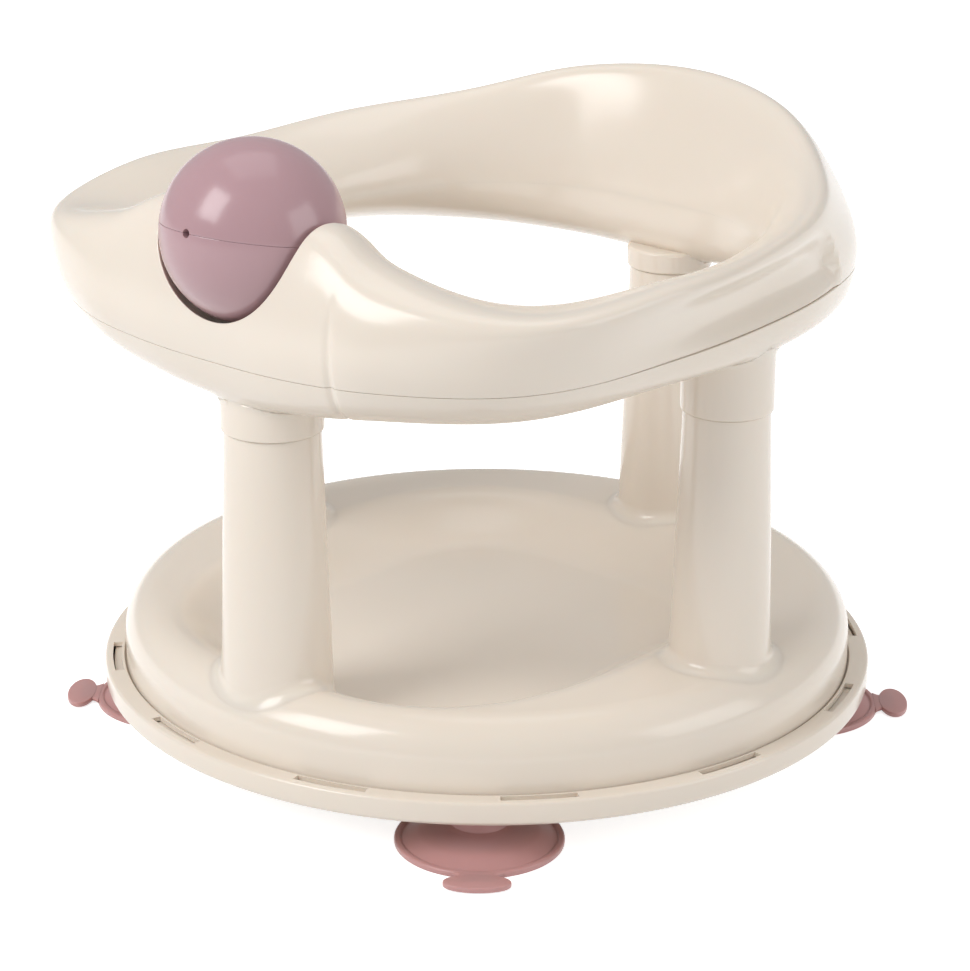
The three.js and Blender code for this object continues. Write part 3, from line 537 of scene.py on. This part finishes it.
def ring_skin(azimuth, row):
    """The skin's points with the dents pressed in square to it, and its outward directions."""
    plain = plain_skin(azimuth, row)
    facing = ring_normal(azimuth, row)
    points = plain - facing * dent(azimuth, row)[..., None]
    turn = np.roll(points, -1, 1) - np.roll(points, 1, 1)
    across = np.gradient(points, axis=0)
    normal = np.cross(turn, across)
    length = np.linalg.norm(normal, axis=-1, keepdims=True)
    normal = np.where(length > 1e-7, normal / np.maximum(length, 1e-7), facing)
    return points, normal


def softened_edge(points, normal, border, reach):
    """Rounds the skin over where it ends at a parting: the face there looks along the rows."""
    edge = points[border]
    inner = points[1] if border == 0 else points[-2]
    outwards = edge - inner
    outwards /= np.linalg.norm(outwards, axis=-1, keepdims=True)
    gap = np.linalg.norm(points - edge[None], axis=-1)
    return shifted(points, -normal, -np.broadcast_to(outwards, points.shape), gap, reach)


def fine_ring_azimuths(first_side):
    """Azimuths from one side of the pod round the back to the other, closest at the crease."""
    side = np.concatenate([
        np.linspace(first_side, 18.6, 10)[:-1], np.linspace(18.6, 21.8, 27)[:-1],
        np.linspace(21.8, 45, 36)[:-1], np.linspace(45, 180, 109)])
    return np.concatenate([side, 360 - side[-2::-1]])


lower_azimuths = np.concatenate([np.linspace(-16, 16, 31)[:-1], fine_ring_azimuths(16)[:-1]])[None]
near_edge = np.array([0, 0.004, 0.01, 0.018, 0.03, 0.05, 0.08])
lower_rows = np.concatenate([5 + near_edge, np.linspace(5.15, 7.85, 46), 8 - near_edge[::-1]])
lower_azimuths, lower_rows = np.broadcast_arrays(lower_azimuths, lower_rows[:, None])
skin, normal = ring_skin(lower_azimuths, lower_rows)
skin[..., 2] -= seam_gap * smooth((lower_rows - 6) / 2)
lining = skin - normal * ring_wall
skin = softened_edge(skin, normal, 0, inner_edge)
skin = softened_edge(skin, normal, -1, outer_edge)
collars = []
for azimuth, distance, radius, joint, spigot in posts:
    collar_radius = radius + collar_step
    collar_blend = 4 if azimuth == 0 else 3
    middle = polar(distance, azimuth, 0.0)
    away = skin - middle
    away[..., 2] = 0
    reach = np.linalg.norm(away, axis=-1)
    away /= np.maximum(reach, 1e-6)[..., None]
    under = smooth((-0.2 - normal[..., 2]) / 0.3)
    gap = np.maximum(reach - collar_radius, 0)
    gap = collar_blend - (collar_blend - np.minimum(gap, collar_blend)) * under
    # Where the collar's line of wall meets the skin: the lowest skin point nearest to it.
    around = np.arange(0, 360, 3.0)
    foot = turned(np.array([[collar_radius, 0.0]]), around)[0] + middle
    flat = skin[..., :2].reshape(-1, 2)
    low = (normal[..., 2] < -0.05).ravel()
    apart = ((flat[None, low] - foot[:, None, :2]) ** 2).sum(-1)
    nearest = apart.argmin(1)
    meets = skin[..., 2].ravel()[low][nearest]
    meets_normal = normal.reshape(-1, 3)[low][nearest]
    covered = smooth(1.5 - np.sqrt(apart.min(1)) / 4)
    skin = shifted(skin, normal, away, gap, collar_blend)
    bottom, inside = joint + 0.3, radius - 1.9
    # The back collar stands partly inside the ring's opening, so a lid closes it round the boss.
    lidded = azimuth == 180
    top, side_top = (lid_inside, lid_under) if lidded else (208, 208)
    foot_line = filleted([(inside, top, 0), (inside, bottom, 0.3), (collar_radius, bottom, 0.7),
                          (collar_radius, bottom + 1.5, 0)])
    side_line = np.stack([
        np.full(60, collar_radius), np.linspace(bottom + 1.5, side_top, 61)[1:]], 1)
    lid_line = filleted([(collar_radius, lid_under, 0), (collar_radius, lid_top, 3),
                         (lid_hole, lid_top, 0.3), (lid_hole, top, 0)])
    line = np.concatenate([foot_line, side_line, lid_line[1:] if lidded else lid_line[:0]])
    wall = turned(line, around) + middle
    out = turned(np.ones((len(line), 2)) * [1, 0], around)
    own = (np.abs(line[:, 0] - collar_radius) < 1e-6)[:, None]
    drop = (meets[None] - wall[..., 2]) * np.abs(meets_normal[None, :, 2])
    drop = np.where((drop < 0) | ~own, collar_blend, drop)
    drop = collar_blend - (collar_blend - np.minimum(drop, collar_blend)) * covered
    wall = shifted(wall, out, np.broadcast_to(meets_normal[None], wall.shape), drop, collar_blend)
    collars.append((wall, quads(*wall.shape[:2], round_rows=True)))
lower = np.concatenate([skin, lining[::-1][::4]])
ring_lower = moulded("ring_lower", (lower, quads(*lower.shape[:2], round_rows=True)), *collars)
ring_lower.data.materials.append(cream_plastic)
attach(ring_lower, "seat")
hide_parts("ring_lower_shell")

# Ring, upper shell. A glossy polypropylene moulding: the roll that the child leans on, and at the
# front the pod, with the round socket in which the ball sits.
ball_middle = np.array([0, axis_y - 145, 253.2])
ball_radius, socket_radius = 37.7, 40.2
into_socket = np.array([0, 0.35, -0.937])  # the way that the bowl lies from its mouth
mouth_blend = 0.8

scan_azimuth, scan_row = np.linspace(0, 24, 481), np.linspace(0, 5, 1001)


def clear_of_socket(azimuth):
    """Distance of the skin from the socket's sphere, for each azimuth along all the scan's rows."""
    skin_points = plain_skin(azimuth[:, None], scan_row[None])
    return np.linalg.norm(skin_points - ball_middle, axis=-1) - socket_radius


off = clear_of_socket(scan_azimuth)
wide = np.where((off < 0).any(1))[0].max()
mouth_end = scan_azimuth[wide]
tip_row = scan_row[off[wide].argmin()]


def mouth_rows(azimuth):
    """The rows at which the skin goes into the socket and comes out again, at azimuths within the
    mouth: where its distance from the ball's middle is the socket's radius, between two samples."""
    off = clear_of_socket(azimuth)
    found = []
    for way in (1, -1):
        signs = (off < 0)[:, ::way]
        k = np.clip(signs.argmax(1), 1, None)
        line, value = scan_row[::way], off[:, ::way]
        pick = np.arange(len(azimuth))
        before, after = value[pick, k - 1], value[pick, k]
        share = before / (before - after)
        row = line[k - 1] + (line[k] - line[k - 1]) * share
        found.append(np.where(signs.any(1), row, tip_row))
    return found


pod_azimuths = mouth_end * np.sin(np.radians(np.linspace(-90, 90, 111)))
outer_azimuths = fine_ring_azimuths(mouth_end)[1:-1]
upper_azimuths = np.concatenate([pod_azimuths, outer_azimuths])
goes_in, comes_out = mouth_rows(pod_azimuths)
goes_in[[0, -1]] = comes_out[[0, -1]] = tip_row
goes_in = np.concatenate([goes_in, np.full(len(outer_azimuths), tip_row)])
comes_out = np.concatenate([comes_out, np.full(len(outer_azimuths), tip_row)])
closing_in = 1 - np.linspace(1, 0, 40) ** 1.7
band_share = np.concatenate([near_edge / 5, 0.02 + 0.98 * closing_in[1:]])[:, None]
first_band = band_share * goes_in[None]
bowl_share = smooth(np.linspace(0, 1, 46))[1:-1, None]
bowl_band = goes_in[None] + (comes_out - goes_in)[None] * bowl_share
last_band = comes_out[None] + (5 - comes_out)[None] * (1 - band_share[::-1])
upper_rows = np.concatenate([first_band, bowl_band, last_band])
upper_azimuths = np.broadcast_to(upper_azimuths[None], upper_rows.shape)
skin, normal = ring_skin(upper_azimuths, upper_rows)
in_bowl = np.zeros(upper_rows.shape, bool)
in_bowl[len(first_band):len(first_band) + len(bowl_band), :len(pod_azimuths)] = True
in_bowl[:, [0, len(pod_azimuths) - 1]] = False

# The bowl: each skin point in the mouth goes on along one direction until it meets the sphere.
arm = skin - ball_middle
ahead = arm @ into_socket
travel = -ahead + np.sqrt(np.maximum(ahead**2 + socket_radius**2 - (arm**2).sum(-1), 0))
bowl = skin + into_socket * travel[..., None]
to_middle = ball_middle - np.where(in_bowl[..., None], bowl, skin)
to_middle /= np.linalg.norm(to_middle, axis=-1, keepdims=True)
outside = np.linalg.norm(arm, axis=-1) - socket_radius
depth = np.maximum(travel * np.abs((normal * into_socket).sum(-1)), 0)
skin_normal = normal
edge_skin = shifted(skin, -skin_normal, -to_middle, np.maximum(outside, 0), mouth_blend)
edge_bowl = shifted(bowl, -to_middle, -skin_normal, depth, mouth_blend)
outer = np.where(in_bowl[..., None], edge_bowl, edge_skin)
inwards = np.where(in_bowl[..., None], -to_middle, -skin_normal)
lining = np.where(in_bowl[..., None], bowl, skin) + inwards * ring_wall

# At the mouth's edge the lining turns the corner a wall's thickness behind both faces.
slant = np.maximum(np.abs((normal * into_socket).sum(-1)), 0.3)
lining += into_socket * np.where(in_bowl, np.clip(ring_wall - depth, 0, None) / slant, 0)[..., None]
from_ball = lining - ball_middle
sideways = from_ball - skin_normal * (from_ball * skin_normal).sum(-1, keepdims=True)
sideways /= np.maximum(np.linalg.norm(sideways, axis=-1, keepdims=True), 1e-6)
along = (from_ball * sideways).sum(-1)
short = (socket_radius + ring_wall) ** 2 - (from_ball**2).sum(-1)
push = np.sqrt(np.maximum(along**2 + short, 0)) - along
lining += sideways * np.where(in_bowl | (short < 0), 0, push)[..., None]
outer = softened_edge(outer, skin_normal, 0, outer_edge)
outer = softened_edge(outer, skin_normal, -1, inner_edge)
upper = np.concatenate([outer, lining[::-1][::4]])
ring_upper = moulded("ring_upper", (upper, quads(*upper.shape[:2], round_rows=True)))
ring_upper.data.materials.append(cream_plastic)
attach(ring_upper, "seat")
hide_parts("ring_upper_shell")

# Play ball. Two glossy polystyrene half shells pressed together on a tilted parting plane, with a
# small drain hole on it at the front and a bore at each side for the axle.
ball_wall, ball_tilt, hole_depth = 2.5, 10.2, 16
# Glossy polystyrene from a polished mould: sharper gloss than the ring's.
pink_plastic = moulded_plastic("pink_polystyrene", "#b8959a", 0.2, "#b49197", 30, 0.01, 0.1)
fine = np.concatenate([np.arange(-4, 4, 0.2), np.arange(4, 86, 3.0)])
ball_azimuths = np.concatenate([fine, 86 + np.arange(0, 8, 0.4), np.arange(94, 266, 3.0),
                                266 + np.arange(0, 8, 0.4), np.arange(274, 356, 3.0)])[None]
parting = np.degrees(np.arcsin(0.06 / ball_radius))
ball_rows = np.concatenate([parting + np.arange(0, 4.4, 0.2), np.linspace(7, 90, 34)])[:, None]


def sphere(radius, azimuth, latitude):
    """Points of a sphere about zero: radius times (cos lat sin az, -cos lat cos az, sin lat)."""
    a, b = np.radians(azimuth), np.radians(latitude)
    return radius[..., None] * np.stack(np.broadcast_arrays(
        np.cos(b) * np.sin(a), -np.cos(b) * np.cos(a), np.sin(b)), -1)


tilt = np.array(Matrix.Rotation(np.radians(-ball_tilt), 3, "X"))
ones = np.ones((ball_rows.size, ball_azimuths.size))
for name, up in (("upper", 1), ("lower", -1)):
    way = sphere(ones, ball_azimuths, up * ball_rows)
    holes = [((0, -1, 0), 1.6), ((1, 0, 0), 2.3), ((-1, 0, 0), 2.3)]
    pit = np.zeros_like(ones)
    for direction, hole_radius in holes:
        facing = way @ np.array(direction)
        off_axis = ball_radius * np.sqrt(np.maximum(1 - facing**2, 0)) + np.where(facing < 0, 99, 0)
        pit = np.maximum(pit, smooth((hole_radius + 0.15 - off_axis) / 0.35))
    edge_gap = ball_radius * np.radians(ball_rows - parting) * ones
    rounding = blended(edge_gap, 0.35)[0] * 1.2
    skin = way * (ball_radius - rounding - hole_depth * pit)[..., None]
    lining = way * (ball_radius - ball_wall - (hole_depth - 1) * pit)[..., None]
    half = np.concatenate([skin, lining[::-1]]) @ tilt.T + ball_middle
    shell = moulded(f"ball_{name}", (half, quads(*half.shape[:2], round_rows=True)))
    shell.data.materials.append(pink_plastic)
    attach(shell, "ball")
    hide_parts(f"ball_{name}_half")

# Studio: a white floor with a plain white surround, and soft boxes to the left, right and above.
floor_mesh = bpy.data.meshes.new("floor")
floor_mesh.from_pydata([(-6, -6, 0), (6, -6, 0), (6, 6, 0), (-6, 6, 0)], [], [(0, 1, 2, 3)])
floor = bpy.data.objects.new("floor", floor_mesh)
bpy.context.scene.collection.objects.link(floor)
floor_paint = bpy.data.materials.new("white_studio_floor")
floor_paint.use_nodes = True
paint = floor_paint.node_tree
paint.nodes.clear()
ray = add(paint, "ShaderNodeLightPath")
seen = add(paint, "ShaderNodeMath", [
    (0, ray.outputs["Is Camera Ray"]), (1, ray.outputs["Is Glossy Ray"])], operation="MAXIMUM")
seen = add(paint, "ShaderNodeMath", [
    (0, seen.outputs[0]), (1, ray.outputs["Is Transmission Ray"])], operation="MAXIMUM")
lit = add(paint, "ShaderNodeBsdfDiffuse")
lit.inputs["Color"].default_value = (0.8, 0.8, 0.8, 1)
glow = add(paint, "ShaderNodeEmission")
glow.inputs["Color"].default_value = (1, 1, 1, 1)
glow_level = add(paint, "ShaderNodeMath", [(0, seen.outputs[0])], operation="MULTIPLY")
glow_level.inputs[1].default_value = 0.75
paint.links.new(glow_level.outputs[0], glow.inputs["Strength"])
both = add(paint, "ShaderNodeAddShader", [(0, lit.outputs[0]), (1, glow.outputs[0])])
add(paint, "ShaderNodeOutputMaterial", [("Surface", both.outputs[0])])
floor.data.materials.append(floor_paint)

world = bpy.data.worlds.new("studio")
world.use_nodes = True
bpy.context.scene.world = world
sky = world.node_tree
sky.nodes.clear()
ray = add(sky, "ShaderNodeLightPath")
seen = add(sky, "ShaderNodeMath", [
    (0, ray.outputs["Is Camera Ray"]),
    (1, ray.outputs["Is Transmission Ray"])], operation="MAXIMUM")
level = add(sky, "ShaderNodeMapRange", [("Value", seen.outputs[0])], to_min=0.48, to_max=1.0)
around = add(sky, "ShaderNodeBackground", [("Strength", level.outputs["Result"])])
around.inputs["Color"].default_value = (1, 1, 1, 1)
add(sky, "ShaderNodeOutputWorld", [("Surface", around.outputs[0])])


def soft_box(name, place, aim, width, height, watts):
    """A rectangular area lamp at a place in metres, turned to a point of the object."""
    lamp = bpy.data.lights.new(name, "AREA")
    lamp.shape = "RECTANGLE"
    lamp.size, lamp.size_y, lamp.energy = width, height, watts
    holder = bpy.data.objects.new(name, lamp)
    bpy.context.scene.collection.objects.link(holder)
    back = np.array(place, float) - np.array(aim, float)
    holder.matrix_world = Matrix.Translation(place) @ look(back).to_4x4()
    return holder


def look(back, roll=0.0):
    """The turn of a camera or lamp whose back points along a direction: right is level, and both
    right and up are then rolled by an angle."""
    back = np.array(back, float) / np.linalg.norm(back)
    right = np.cross([0, 0, 1], back)
    right /= np.linalg.norm(right)
    up = np.cross(back, right)
    c, s = np.cos(roll), np.sin(roll)
    return Matrix(np.stack([right * c + up * s, up * c - right * s, back], 1).tolist())


soft_box("left_soft_box", (-0.48, -1.66, 1.47), (0, -0.14, 0.25), 1.0, 1.2, 25)
soft_box("right_soft_box", (1.78, 0.62, 0.77), (0, -0.14, 0.25), 1.3, 1.1, 10)
soft_box("overhead_soft_box", (-0.3, 0.2, 1.9), (0, 0, 0.1), 1.3, 1.3, 5)

# Camera, solved on the rim of the tray, the four posts and the ball in a frame of 970 by 971.
view_azimuth, view_elevation, view_roll = np.radians([40.5, 20.04, 0.25])
focal, view_distance = 3200.0, 1467.0  # pixels, millimetres
off_x, off_y = 486.6 - 485, 701.3 - 485.5  # where the swivel axis meets the floor, from the middle
back = np.array([np.sin(view_azimuth) * np.cos(view_elevation),
                 -np.cos(view_azimuth) * np.cos(view_elevation), np.sin(view_elevation)])
level = np.array(look(back))
c, s = np.cos(view_roll), np.sin(view_roll)
plain_x, plain_y = off_x * c + off_y * s, off_y * c - off_x * s
eye = view_distance * (back - level[:, 0] * plain_x / focal + level[:, 1] * plain_y / focal)
camera_data = bpy.data.cameras.new("camera")
camera_data.lens = focal / 971 * 36
camera_data.sensor_width = 36
camera_data.clip_start, camera_data.clip_end = 0.05, 30
camera = bpy.data.objects.new("camera", camera_data)
bpy.context.scene.collection.objects.link(camera)
standpoint = Matrix.Translation((eye + [0, axis_y, 0]) * 0.001)
camera.matrix_world = standpoint @ look(back, view_roll).to_4x4()
bpy.context.scene.camera = camera
bpy.context.scene.view_settings.view_transform = "Standard"
